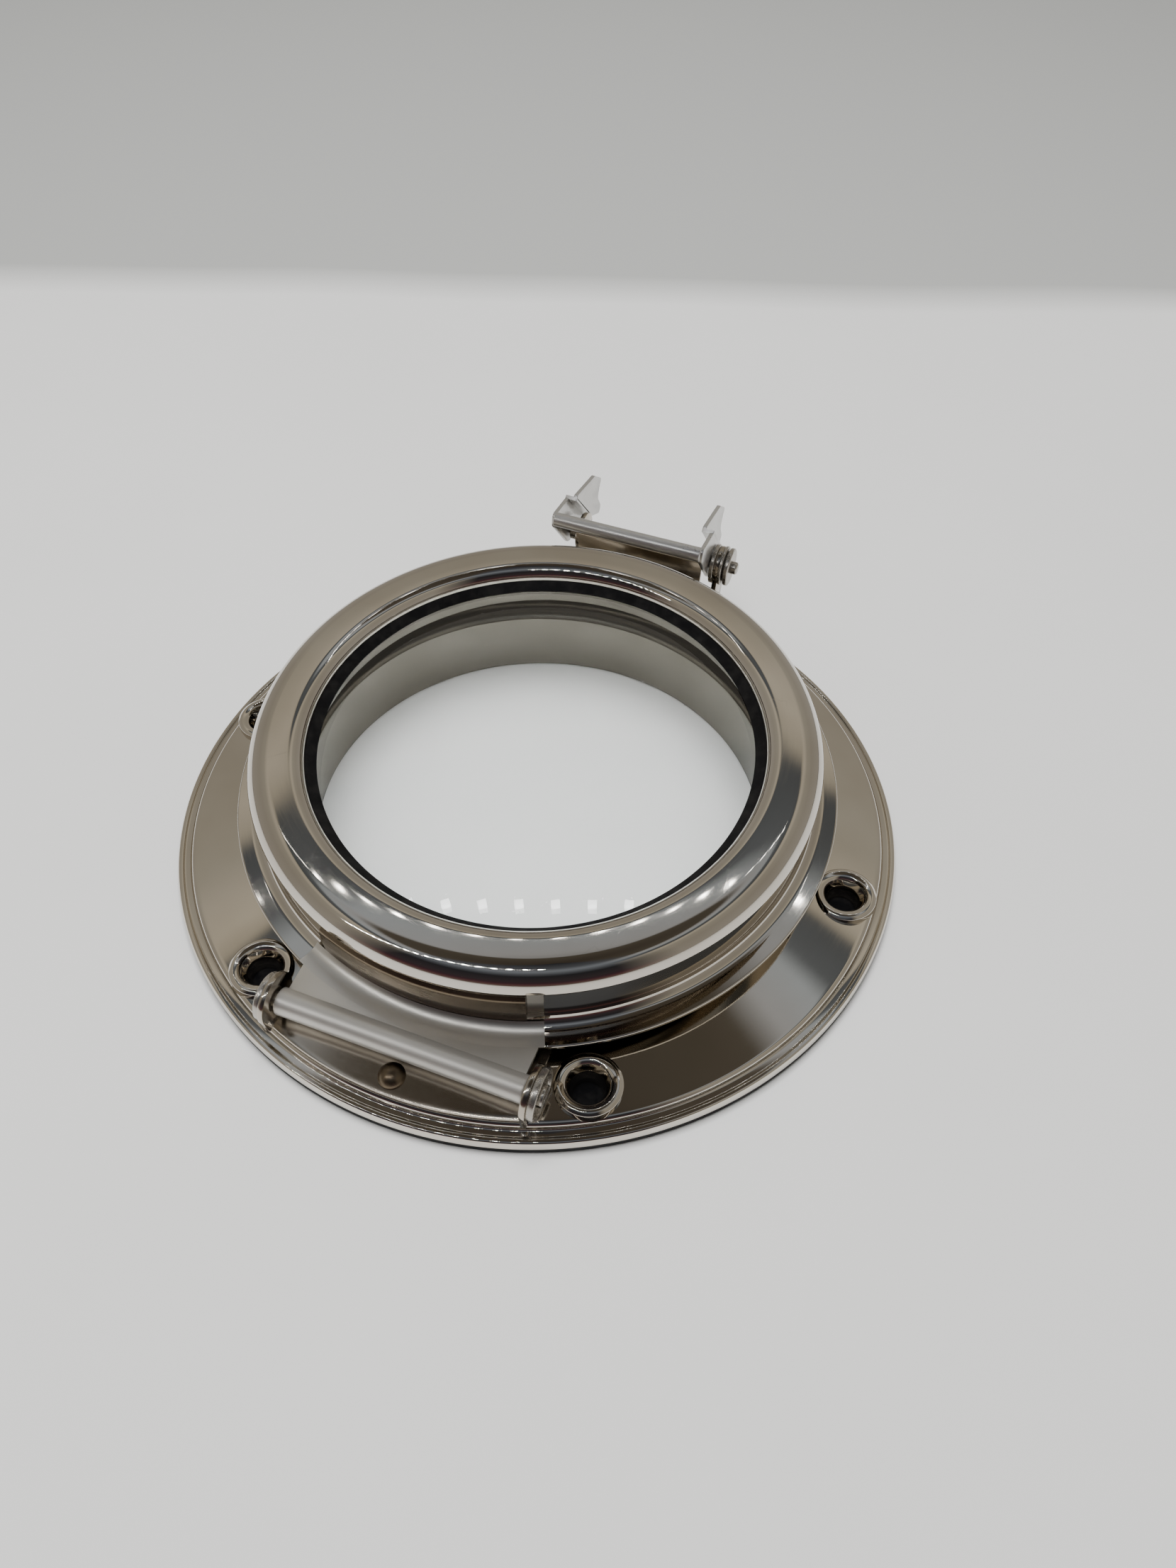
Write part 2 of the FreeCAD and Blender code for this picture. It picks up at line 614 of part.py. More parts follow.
def latch_discs():
    """Pin, washers and spacer that the bail turns on."""
    neck = "0 - bail_left - 0.3"
    shaft = x_cylinder("latch_shaft", "latch_pin_radius", neck, "pin_end", *LATCH)
    head = x_cylinder("latch_head", "latch_pin_radius + 1", neck + " - 0.9", neck, *LATCH)
    fused("latch_pin", [shaft, head])

    def washer(label, radius, start, end):
        disc = x_cylinder(label + "_disc", radius, start, end, *LATCH)
        hole = x_cylinder(label + "_hole", "latch_pin_radius", start, end, *LATCH)
        drilled(label, disc, [hole])

    lug_out = "lug_face + lug_sheet"
    washer("latch_inner_washer", "disc_radius", "bail_right + 0.3", "lug_face")
    washer("latch_outer_washer", "disc_radius", lug_out, lug_out + " + 1")
    washer("latch_pin_nut", "disc_radius - 0.2", lug_out + " + 1.5", "pin_end - 1.8")
    washer("latch_spring_washer", "disc_radius - 1.2", lug_out + " + 1", lug_out + " + 1.5")
    bail_arm = "0 - bail_left + bail_sheet + 0.3"
    washer("latch_spacer", "latch_pin_radius + 1.3", bail_arm, "0 - lug_face - lug_sheet")


def latch_bail():
    """Crossbar between two arms that turn on the pin, each arm stepped in to a pointed wing."""
    arm = [
        ("bar_reach - 1", "bar_height - bar_radius"), ("bar_reach - 0.5", "bar_height + bar_radius - 0.2"),
        ("latch_reach - 2.5", "latch_height + 12.5"), ("latch_reach + 10", "latch_height - 2"),
        ("latch_reach + 3", "latch_height - 4.2"), ("latch_reach - 3", "latch_height - 3.4"),
    ]
    step = [
        ("latch_reach - 2.8", "latch_height + 12.3"), ("latch_reach - 2", "latch_height + 13.1"),
        ("latch_reach + 10.5", "latch_height - 1.4"), ("latch_reach + 9.7", "latch_height - 2.2"),
    ]
    wing = [
        ("latch_reach - 2.5", "latch_height + 12.5"), ("latch_reach - 1.5", "latch_height + 13.5"),
        ("latch_reach + 14.5", "latch_height + 10"), ("latch_reach + 18.5", "latch_height + 6.5"),
        ("latch_reach + 16", "latch_height + 1"), ("latch_reach + 19.3", "latch_height - 3.5"),
        ("latch_reach + 17.5", "latch_height - 6"), ("latch_reach + 9.8", "latch_height - 2"),
    ]
    right_arm = "bail_right - bail_sheet"
    right_wing = right_arm + " - wing_jog"
    sides = (
        ("left", "0 - bail_left", "0 - bail_left", "0 - bail_left + wing_jog"),
        ("right", right_arm, right_wing, right_wing),
    )
    bar_ends = ("0 - bail_left + 0.6", "bail_right - 0.6")
    pieces = [x_cylinder("bail_bar", "bar_radius", *bar_ends, "bar_reach", "bar_height")]
    for side, arm_start, step_start, wing_start in sides:
        pieces.append(extruded("bail_arm_" + side, arm, arm_start, "bail_sheet"))
        pieces.append(extruded("bail_step_" + side, step, step_start, "bail_sheet + wing_jog"))
        pieces.append(extruded("bail_wing_" + side, wing, wing_start, "bail_sheet"))
    whole = fused("latch_bail_blank", pieces)
    bore_radius = "latch_pin_radius + pin_play"
    bore = x_cylinder("bail_bore", bore_radius, "0 - bail_left - 5", "bail_right + 5", *LATCH)
    drilled("latch_bail", whole, [bore])


mounting_gasket()
base_flange()
coaming()
lid_frame_ring()
lid_cover_ring()
lid_inner_rings()
hinge_bracket()
hinge_pin()
rivet("hinge_bracket_rivet", [(0, -SIZES["rivet_circle"])])
latch_bracket()
rivet("latch_bracket_rivets", [
    (-SIZES["latch_rivet_side"], SIZES["latch_rivet_reach"]),
    (SIZES["latch_rivet_side"], SIZES["latch_rivet_reach"]),
])
latch_discs()
latch_bail()
neck_strap()
doc.recompute()

LID_NODES = (
    "lid_frame_ring", "lid_cover_ring", "neck_strap", "glass_pane", "glazing_gasket", "glass_retainer",
    "lid_seal",
)
NODES = LID_NODES + (
    "mounting_gasket", "base_flange", "coaming", "hinge_bracket", "hinge_pin", "hinge_pin_screw",
    "hinge_bracket_rivet", "latch_bracket", "latch_bracket_rivets", "latch_pin", "latch_inner_washer",
    "latch_outer_washer", "latch_spring_washer", "latch_pin_nut", "latch_spacer", "latch_bail",
)
stand_ajar(LID_NODES)

for item in doc.Objects:
    if {"Invalid", "Error"} & set(item.State):
        raise RuntimeError(f"{item.Label}: {item.State}")

os.makedirs("parts", exist_ok=True)
for node in NODES:
    shape = doc.getObjectsByLabel(node)[0].Shape
    if shape.isNull() or not shape.isValid():
        raise RuntimeError(f"{node}: the shape is empty or not valid")
    shape.exportStep(f"parts/{node}.step")
    print(node, "solids", len(shape.Solids), "volume", round(shape.Volume, 1))
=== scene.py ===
import math

import bpy
import numpy as np
from mathutils import Matrix, Vector


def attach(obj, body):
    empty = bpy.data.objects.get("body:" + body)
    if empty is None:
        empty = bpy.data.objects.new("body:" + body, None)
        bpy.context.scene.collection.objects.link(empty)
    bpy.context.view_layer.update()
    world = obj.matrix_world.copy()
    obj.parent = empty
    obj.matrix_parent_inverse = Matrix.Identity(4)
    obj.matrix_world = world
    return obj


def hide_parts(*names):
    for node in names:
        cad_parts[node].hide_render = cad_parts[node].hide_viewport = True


# Opening porthole.  Shapes are worked out in millimetres in the frame of the part and built in metres.
# The lid's pieces are shaped closed and then turned about the hinge to the part's resting pose.

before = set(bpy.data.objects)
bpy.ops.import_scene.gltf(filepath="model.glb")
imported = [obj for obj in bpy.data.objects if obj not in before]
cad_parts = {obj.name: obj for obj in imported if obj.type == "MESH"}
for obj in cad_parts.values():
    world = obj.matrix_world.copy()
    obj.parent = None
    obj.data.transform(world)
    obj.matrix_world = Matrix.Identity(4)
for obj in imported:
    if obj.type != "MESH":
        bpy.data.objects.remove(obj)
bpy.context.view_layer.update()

MM = 0.001
HINGE_Y, HINGE_Z = -81.0, 13.4
LATCH_Y, LATCH_Z = 88.5, 28.5
LID_AJAR = math.radians(2.8)
ON_AXIS = 1e-4                         # smallest radius of a turned outline


# ---------------------------------------------------------------- mesh helpers

def rounded(corners, closed=False, steps=6):
    """Points along a line through (a, b) or (a, b, round) corners, with an arc at each rounded one."""
    out = []
    count = len(corners)
    for i, corner in enumerate(corners):
        here = Vector(corner[:2])
        radius = corner[2] if len(corner) > 2 else 0.0
        if radius <= 0 or (not closed and i in (0, count - 1)):
            out.append((here.x, here.y))
            continue
        before = Vector(corners[i - 1][:2]) - here
        after = Vector(corners[(i + 1) % count][:2]) - here
        half = before.angle(after) / 2
        cut = min(radius / math.tan(half), before.length * 0.499, after.length * 0.499)
        radius = cut * math.tan(half)
        start = here + before.normalized() * cut
        end = here + after.normalized() * cut
        centre = here + (before.normalized() + after.normalized()).normalized() * (radius / math.sin(half))
        a0 = math.atan2(start.y - centre.y, start.x - centre.x)
        turn = math.atan2(end.y - centre.y, end.x - centre.x) - a0
        turn = (turn + math.pi) % (2 * math.pi) - math.pi
        for k in range(steps + 1):
            a = a0 + turn * k / steps
            out.append((centre.x + radius * math.cos(a), centre.y + radius * math.sin(a)))
    return out


def make(name, verts, faces, body, slot, material, sharp=35, ajar=False, replaces=()):
    """A smooth-shaded mesh piece from points in millimetres."""
    points = np.asarray(verts, float)
    if ajar:
        c, s = math.cos(LID_AJAR), math.sin(LID_AJAR)
        y = points[:, 1] - HINGE_Y
        z = points[:, 2] - HINGE_Z
        points = np.c_[points[:, 0], HINGE_Y + y * c - z * s, HINGE_Z + y * s + z * c]
    mesh = bpy.data.meshes.new(name)
    mesh.from_pydata((points * MM).tolist(), [], faces)
    mesh.validate()
    mesh.materials.append(material)
    mesh.shade_smooth()
    mesh.set_sharp_from_angle(angle=math.radians(sharp))
    piece = bpy.data.objects.new(name, mesh)
    bpy.context.scene.collection.objects.link(piece)
    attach(piece, body)
    if replaces:
        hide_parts(*replaces)


def grid_faces(rows, cols, wrap_rows=False, wrap_cols=False):
    """Quads between the points of a grid that is stored row after row."""
    faces = []
    for i in range(rows if wrap_rows else rows - 1):
        for j in range(cols if wrap_cols else cols - 1):
            a, b = i * cols, ((i + 1) % rows) * cols
            k = (j + 1) % cols
            faces.append((a + j, b + j, b + k, a + k))
    return faces


def lathe_data(profile, segments, start=0.0, sweep=360.0):
    """A closed (radius, height) outline turned about the ring's axis.  A part turn gets flat ends."""
    full = sweep >= 360.0
    count = segments if full else segments + 1
    angles = np.radians(start + sweep * np.arange(count) / segments)
    line = np.array(profile, float)
    verts = np.empty((len(line), count, 3))
    verts[:, :, 0] = line[:, 0, None] * np.cos(angles)
    verts[:, :, 1] = line[:, 0, None] * np.sin(angles)
    verts[:, :, 2] = line[:, 1, None]
    faces = grid_faces(len(line), count, True, full)
    if not full:
        faces.append(tuple(i * count for i in range(len(line))))
        faces.append(tuple(i * count + count - 1 for i in reversed(range(len(line)))))
    return verts.reshape(-1, 3), faces


def lathe(name, corners, body, slot, material, segments=288, **more):
    """A ring piece from its cornered cross-section."""
    verts, faces = lathe_data(rounded(corners, True), segments)
    make(name, verts, faces, body, slot, material, **more)


def x_turned_data(corners, y, z, segments=64):
    """An (x, radius) outline turned about a line along X, closed at both ends on the axis."""
    line = rounded(corners, False, 4)
    verts = []
    for x, radius in line:
        radius = max(radius, ON_AXIS)
        for k in range(segments):
            a = 2 * math.pi * k / segments
            verts.append((x, y + radius * math.cos(a), z + radius * math.sin(a)))
    faces = grid_faces(len(line), segments, False, True)
    faces.append(tuple(reversed(range(segments))))
    last = (len(line) - 1) * segments
    faces.append(tuple(range(last, last + segments)))
    return verts, faces


def x_turned(name, corners, y, z, body, slot, material, **more):
    """A turned piece on a line along X."""
    verts, faces = x_turned_data(corners, y, z)
    make(name, verts, faces, body, slot, material, **more)


def plate_data(outline_yz, x0, x1, edge):
    """Flat sheet across X from a (y, z) outline, its edges softened by the given width."""
    outline = [Vector(p) for p in outline_yz]
    n = len(outline)
    area = sum(outline[i - 1].x * outline[i].y - outline[i].x * outline[i - 1].y for i in range(n))
    turn = 1 if area > 0 else -1
    inset = []
    for i, p in enumerate(outline):
        a = (outline[i - 1] - p).normalized()
        b = (outline[(i + 1) % n] - p).normalized()
        across = (b - a).normalized()
        inset.append(p + Vector((-across.y, across.x)) * edge * turn)
    soft = 0.3                         # where the bevel's middle line lies between outline and inset
    bevel = [p.lerp(q, soft) for p, q in zip(outline, inset)]
    rings = [(x0, inset), (x0 + edge * soft, bevel), (x0 + edge, outline),
             (x1 - edge, outline), (x1 - edge * soft, bevel), (x1, inset)]
    verts = [(x, p.x, p.y) for x, ring in rings for p in ring]
    faces = grid_faces(len(rings), n, False, True)
    faces.append(tuple(range(n)))
    faces.append(tuple(reversed(range((len(rings) - 1) * n, len(rings) * n))))
    return verts, faces


def joined(parts):
    """Several (points, faces) sets as one."""
    verts, faces = [], []
    for v, f in parts:
        base = len(verts)
        verts.extend([tuple(p) for p in v])
        faces.extend([tuple(base + i for i in face) for face in f])
    return verts, faces


# ---------------------------------------------------------------- materials

def new_material(name):
    material = bpy.data.materials.new(name)
    material.use_nodes = True
    tree = material.node_tree
    return material, tree, tree.nodes["Principled BSDF"]


def node(tree, kind, **values):
    made = tree.nodes.new(kind)
    for key, value in values.items():
        setattr(made, key, value)
    return made


def maths(tree, operation, a, b=None):
    made = node(tree, "ShaderNodeMath", operation=operation)
    for index, value in enumerate((a, b)):
        if value is None:
            continue
        if isinstance(value, (int, float)):
            made.inputs[index].default_value = value
        else:
            tree.links.new(value, made.inputs[index])
    return made.outputs[0]


def noise(tree, vector, scale, detail, rough=0.55):
    made = node(tree, "ShaderNodeTexNoise", noise_type="FBM")
    made.inputs["Scale"].default_value = scale
    made.inputs["Detail"].default_value = detail
    made.inputs["Roughness"].default_value = rough
    tree.links.new(vector, made.inputs["Vector"])
    return made.outputs["Fac"]


def remap(tree, value, low, high, to_low, to_high):
    made = node(tree, "ShaderNodeMapRange")
    made.inputs["From Min"].default_value = low
    made.inputs["From Max"].default_value = high
    made.inputs["To Min"].default_value = to_low
    made.inputs["To Max"].default_value = to_high
    tree.links.new(value, made.inputs["Value"])
    return made.outputs["Result"]


def mixed(tree, factor, a, b):
    made = node(tree, "ShaderNodeMix", data_type="RGBA")
    tree.links.new(factor, made.inputs[0])
    made.inputs[6].default_value = (*a, 1)
    made.inputs[7].default_value = (*b, 1)
    return made.outputs[2]


def mixed_sockets(tree, factor, a, b):
    made = node(tree, "ShaderNodeMix", data_type="RGBA")
    for index, value in ((0, factor), (6, a), (7, b)):
        tree.links.new(value, made.inputs[index])
    return made.outputs[2]


def bumped(tree, shader, height, strength, distance_mm):
    bumps = node(tree, "ShaderNodeBump")
    bumps.inputs["Strength"].default_value = strength
    bumps.inputs["Distance"].default_value = distance_mm * MM
    tree.links.new(height, bumps.inputs["Height"])
    tree.links.new(bumps.outputs[0], shader.inputs["Normal"])


def split_xyz(tree, vector):
    split = node(tree, "ShaderNodeSeparateXYZ")
    tree.links.new(vector, split.inputs[0])
    return split.outputs


def level_length(tree, x, y):
    squares = maths(tree, "ADD", maths(tree, "MULTIPLY", x, x), maths(tree, "MULTIPLY", y, y))
    return maths(tree, "SQRT", squares)


def level_distance(tree, x, y, heading):
    """How far (x, y) lies along a level heading in radians."""
    return maths(tree, "ADD", maths(tree, "MULTIPLY", x, math.cos(heading)),
                 maths(tree, "MULTIPLY", y, math.sin(heading)))


GRAIN_RADIUS = 0.075                   # metres; where "along" counts lines per metre round the ring


def grain_vector(tree, kind, along, across):
    """Coordinates stretched so that noise on them runs in fine lines: round the ring's axis or along X."""
    coords = node(tree, "ShaderNodeTexCoord").outputs["Object"]
    x, y, z = split_xyz(tree, coords)
    join = node(tree, "ShaderNodeCombineXYZ")
    if kind == "round":
        radius = level_length(tree, x, y)
        angle = maths(tree, "ARCTAN2", y, x)
        tree.links.new(maths(tree, "MULTIPLY", angle, along * GRAIN_RADIUS), join.inputs[0])
        tree.links.new(maths(tree, "MULTIPLY", radius, across), join.inputs[1])
        tree.links.new(maths(tree, "MULTIPLY", z, across), join.inputs[2])
    else:
        tree.links.new(maths(tree, "MULTIPLY", x, along), join.inputs[0])
        tree.links.new(maths(tree, "MULTIPLY", y, across), join.inputs[1])
        tree.links.new(maths(tree, "MULTIPLY", z, across), join.inputs[2])
    return coords, join.outputs[0]


def steel(name, tint, dull, rough, kind="round", along=60, across=2200, grain=0.05, cloud=0.05,
          bump=0.004, scratch=0.0, specks=0.0, ripple=0.0, metal=1.0):
    """Stainless steel: fine polishing lines, a cloudy haze, stray scratches, specks and a slow ripple.

    The base colour drifts from tint to dull in soft patches.  The height of the lines is bump, in mm.
    """
    material, tree, shader = new_material(name)
    coords, lines = grain_vector(tree, kind, along, across)
    fine = noise(tree, lines, 1.0, 3.0, 0.6)
    haze = noise(tree, coords, 38.0, 5.0, 0.6)
    patches = noise(tree, coords, 26.0, 3.0, 0.5)
    colour = mixed(tree, remap(tree, patches, 0.35, 0.7, 0, 1), tint, dull)
    tree.links.new(colour, shader.inputs["Base Color"])
    shader.inputs["Metallic"].default_value = metal
    roughness = maths(tree, "ADD", remap(tree, fine, 0.35, 0.75, rough - grain / 2, rough + grain / 2),
                      remap(tree, haze, 0.4, 0.75, 0, cloud))
    height = fine
    if scratch > 0:
        cells = node(tree, "ShaderNodeTexVoronoi", feature="DISTANCE_TO_EDGE")
        cells.inputs["Scale"].default_value = 120.0
        stretch = node(tree, "ShaderNodeVectorMath", operation="MULTIPLY")
        tree.links.new(coords, stretch.inputs[0])
        stretch.inputs[1].default_value = (1.0, 0.35, 0.6)
        tree.links.new(stretch.outputs[0], cells.inputs["Vector"])
        line = remap(tree, cells.outputs["Distance"], 0.0, 0.012, 1, 0)
        gate = remap(tree, noise(tree, coords, 60.0, 2.0), 0.52, 0.6, 0, 1)
        cut = maths(tree, "MULTIPLY", line, gate)
        roughness = maths(tree, "ADD", roughness, maths(tree, "MULTIPLY", cut, scratch))
        height = maths(tree, "SUBTRACT", height, maths(tree, "MULTIPLY", cut, 0.8))
    if specks > 0:
        dots = remap(tree, noise(tree, coords, 900.0, 2.0, 0.5), 0.62, 0.72, 0, 1)
        roughness = maths(tree, "ADD", roughness, maths(tree, "MULTIPLY", dots, specks))
        height = maths(tree, "SUBTRACT", height, dots)
    if ripple > 0:
        waves = noise(tree, coords, 55.0, 2.0, 0.4)
        height = maths(tree, "ADD", height, maths(tree, "MULTIPLY", waves, ripple))
    tree.links.new(maths(tree, "MAXIMUM", roughness, 0.02), shader.inputs["Roughness"])
    bumped(tree, shader, height, 1.0, bump)
    return material


def rubber(name, colour, grey):
    """Matt rubber with a little grey dust."""
    material, tree, shader = new_material(name)
    coords = node(tree, "ShaderNodeTexCoord").outputs["Object"]
    dust = noise(tree, coords, 260.0, 5.0, 0.6)
    tree.links.new(mixed(tree, remap(tree, dust, 0.45, 0.8, 0, 1), colour, grey), shader.inputs["Base Color"])
    tree.links.new(remap(tree, noise(tree, coords, 90.0, 3.0), 0.3, 0.7, 0.5, 0.7), shader.inputs["Roughness"])
    shader.inputs["Specular IOR Level"].default_value = 0.2
    bumped(tree, shader, noise(tree, coords, 1500.0, 3.0), 0.6, 0.05)
    return material


def glass(name):
    """Clear pane with faint smears and a few specks."""
    material, tree, shader = new_material(name)
    coords = node(tree, "ShaderNodeTexCoord").outputs["Object"]
    shader.inputs["Base Color"].default_value = (0.985, 1.0, 0.995, 1)
    shader.inputs["Transmission Weight"].default_value = 1.0
    shader.inputs["IOR"].default_value = 1.5
    smear = remap(tree, noise(tree, coords, 30.0, 5.0, 0.65), 0.5, 0.8, 0.0, 0.02)
    tree.links.new(smear, shader.inputs["Roughness"])
    bumped(tree, shader, remap(tree, noise(tree, coords, 700.0, 2.0), 0.7, 0.8, 0, 1), 0.2, 0.01)
    # half of the light passes straight through, so that the floor inside the ring stays pale
    clear = node(tree, "ShaderNodeBsdfTransparent")
    blend = node(tree, "ShaderNodeMixShader")
    shadow = node(tree, "ShaderNodeLightPath").outputs["Is Shadow Ray"]
    tree.links.new(maths(tree, "MULTIPLY", shadow, 0.5), blend.inputs[0])
    tree.links.new(shader.outputs[0], blend.inputs[1])
    tree.links.new(clear.outputs[0], blend.inputs[2])
    tree.links.new(blend.outputs[0], tree.nodes["Material Output"].inputs["Surface"])
    return material


POLISHED = steel("steel_polished_base", (0.67, 0.63, 0.565), (0.56, 0.515, 0.445), 0.045, cloud=0.03,
                 grain=0.02, bump=0.0006, ripple=0.8)
POLISHED_LID = steel("steel_polished_lid", (0.62, 0.585, 0.53), (0.52, 0.48, 0.42), 0.045, cloud=0.025,
                     grain=0.03, bump=0.0008, ripple=0.4, scratch=0.05)
# painted dark reflection and shade: polished steel tinted dark brown, so that the neck strap and the hinge
# rivet look dark without reflecting a dark room
STEEL_PAINTED_DARK_REFLECTION = steel("steel_strap_painted_dark_reflection", (0.20, 0.16, 0.11), (0.13, 0.10, 0.07), 0.24, cloud=0.1, grain=0.06,
                  bump=0.0006)
# painted shade: brushed steel tinted very dark for the shade inside the ring under the glass
BRUSHED_WALL_PAINTED_SHADE = steel("steel_brushed_wall_painted_shade", (0.185, 0.175, 0.152), (0.135, 0.127, 0.106), 0.14, along=240,
                     across=3200, cloud=0.06, grain=0.05, bump=0.0004)
SATIN_X = steel("steel_satin_barrel", (0.64, 0.62, 0.58), (0.56, 0.54, 0.50), 0.42, kind="along", along=50,
                across=5200, grain=0.06, cloud=0.03, bump=0.0004, metal=0.88)
SATIN_LEAF = steel("steel_satin_leaf", (0.62, 0.60, 0.555), (0.52, 0.495, 0.45), 0.3, kind="along", along=700,
                   across=1400, grain=0.04, cloud=0.04, bump=0.0004, specks=0.06, metal=0.92)
SATIN_PLATE = steel("steel_bracket_plate", (0.52, 0.475, 0.41), (0.42, 0.375, 0.31), 0.15, kind="along",
                    along=400, across=1500, grain=0.04, cloud=0.05, bump=0.0003, ripple=0.4)
HARDWARE = steel("steel_turned_hardware", (0.50, 0.475, 0.43), (0.34, 0.315, 0.28), 0.25, kind="along",
                 along=900, across=1500, grain=0.08, cloud=0.1, bump=0.0006, specks=0.15, metal=0.93)
SHEET = steel("steel_bail_sheet", (0.64, 0.635, 0.62), (0.52, 0.51, 0.49), 0.3, kind="along", along=500,
              across=1500, grain=0.08, cloud=0.1, bump=0.0006, specks=0.1, metal=0.9)
RUBBER = rubber("rubber_black", (0.0025, 0.0025, 0.003), (0.011, 0.0105, 0.01))
GLASS = glass("glass_float")


# ---------------------------------------------------------------- base

def arc(across, up, radius, start, end, steps):
    """Points round a fillet, by angle in degrees above the outward level."""
    angles = [math.radians(start + (end - start) * k / steps) for k in range(steps + 1)]
    return [(across + radius * math.cos(a), up + radius * math.sin(a)) for a in angles]


DOME_INNER, DOME_OUTER = 72, 91         # radii between which the flange falls as a cone
DOME_HIGH, DOME_LOW = 9.3, 6.2
DOME_FALL = math.atan2(DOME_HIGH - DOME_LOW, DOME_OUTER - DOME_INNER)


def dome_top(radius):
    """Height of the flange's top at a radius."""
    return DOME_LOW + (DOME_OUTER - radius) * math.tan(DOME_FALL)


SCREW_CIRCLE = 83.3
SCREW_ANGLES = [math.radians(60 * k) for k in range(6)]
DIMPLE_CUT = 7.1                       # radius of the gap in the dome that each dimple closes
OUTLINE_GAP = 0.6                      # greatest distance between rings of points on the flange


def flange_data():
    """The pressed flange from its seat under the coaming to the beaded rim, open at each dimple."""
    outline = rounded([
        (68.05, 7.8), (68.05, 9.3), (72.0, 9.3, 6.0), (91.1, 6.18, 2.8), (91.75, 4.55, 0.7), (93.3, 4.2, 0.5),
        (93.75, 4.75, 0.5), (94.8, 4.55, 0.7), (95.2, 3.7, 0.3), (95.2, 2.25), (93.8, 2.25), (93.6, 3.2),
        (91.0, 3.4), (90.0, 4.8), (72.0, 7.8), (68.05, 7.8)], False, 8)
    line = []
    for a, b in zip(outline, outline[1:]):
        steps = max(1, int(math.dist(a, b) / OUTLINE_GAP))
        line.extend((a[0] + (b[0] - a[0]) * k / steps, a[1] + (b[1] - a[1]) * k / steps)
                    for k in range(steps))
    verts, faces = lathe_data(line, 720)
    away = np.min([np.hypot(verts[:, 0] - SCREW_CIRCLE * math.cos(a), verts[:, 1] - SCREW_CIRCLE * math.sin(a))
                   for a in SCREW_ANGLES], axis=0)
    return verts, [face for face in faces if any(away[i] > DIMPLE_CUT for i in face)]


def dimple_data(angle):
    """The stamped seat of one screw: a level rim, a cone inside it and the small stepped hole."""
    line = rounded([
        (8.05, 4.9), (8.0, 8.2, 0.3), (7.0, 9.0, 1.2), (5.3, 8.6, 1.8), (4.1, 6.2, 2.2), (3.5, 3.9, 0.4),
        (3.4, 2.35), (4.6, 2.35), (4.9, 3.7), (6.9, 4.7)], True, 8)
    verts, faces = lathe_data(line, 96)
    return verts + np.array([SCREW_CIRCLE * math.cos(angle), SCREW_CIRCLE * math.sin(angle), 0]), faces


make("flange_pressing", *joined([flange_data()] + [dimple_data(a) for a in SCREW_ANGLES]), "base",
     "polished_steel", POLISHED, replaces=["base_flange"])


# the gasket has no holes here, so that its black rubber closes the bottom of each dimple: a dark sheet that
# stands in for the shade in the screw holes
lathe("gasket_ring", [(70, 0.05), (70, 2.15), (94.8, 2.15), (95, 1.9), (95, 0.3), (94.8, 0.05)], "base",
      "black_rubber", RUBBER, segments=360, replaces=["mounting_gasket"])
# the coaming's inner wall is tinted dark as painted shade
lathe("coaming_wall", [
    (68, 7.9), (68, 19.2, 1.8), (59.3, 19.2, 1.8), (59.3, 0.4), (60.5, 0.4), (60.5, 18.0, 0.8),
    (66.8, 18.0, 0.8), (66.8, 7.9)], "base", "brushed_steel", BRUSHED_WALL_PAINTED_SHADE, replaces=["coaming"])


# ---------------------------------------------------------------- lid

SHOULDER = (65.75, 28.0)               # (radius, height) of the middle of the rounded shoulder
LIP = (61.1, 30.5)                     # the same for the lip over the glass
cover_line = (arc(*SHOULDER, 6.2, 9.3, 90, 20) + [(63, 34.2)] + arc(*LIP, 3.7, 90, 180, 16) + [(58.5, 30.5)]
              + arc(*LIP, 2.6, 180, 90, 8) + arc(*SHOULDER, 4.9, 90, 14, 10))
lathe("lid_cover", cover_line, "lid", "polished_steel", POLISHED_LID, segments=432, ajar=True,
      replaces=["lid_cover_ring"])

frame_line = [(77.4, 14.2), (77.4, 15.2, 0.45), (70.6, 15.2, 4.6), (70.6, 30.2), (69.4, 30.2),
              (69.4, 14.0, 5.4), (77.2, 14.0, 0.2)]
make("lid_frame", *lathe_data(rounded(frame_line, True, 10), 432), "lid", "polished_steel", POLISHED_LID,
     ajar=True, replaces=["lid_frame_ring"])

# leaf: the flat between neck and barrel, and a thin satin skirt over the ring's flange and neck fillet
leaf_half_width = 29.5
leaf_line = [(-70.0, 15.2), (-78.35, 15.2), (-78.9, 14.0), (-70.0, 14.0)]
leaf_data = plate_data(leaf_line, -leaf_half_width, leaf_half_width, 0.15)
NECK_FILLET = (75.2, 19.8)             # (radius, height) of the middle of the neck's fillet
skirt_line = ([(77.3, 15.15), (77.42, 15.24), (75.2, 15.24)] + arc(*NECK_FILLET, 4.56, 270, 222, 10)
              + arc(*NECK_FILLET, 4.64, 222, 270, 10))
skirt_data = lathe_data(skirt_line, 60, start=-113.5, sweep=47.0)
make("lid_leaf", *joined([leaf_data, skirt_data]), "lid", "polished_steel", SATIN_LEAF, ajar=True)
barrel = [(-30.55, 2.1), (-30.55, 3.2, 0.4), (-30.1, 3.3, 0.2), (30.1, 3.3, 0.2), (30.55, 3.2, 0.4),
          (30.55, 2.1)]
make("lid_knuckle", *x_turned_data(barrel, HINGE_Y, HINGE_Z, 72), "lid", "polished_steel", SATIN_X, ajar=True)

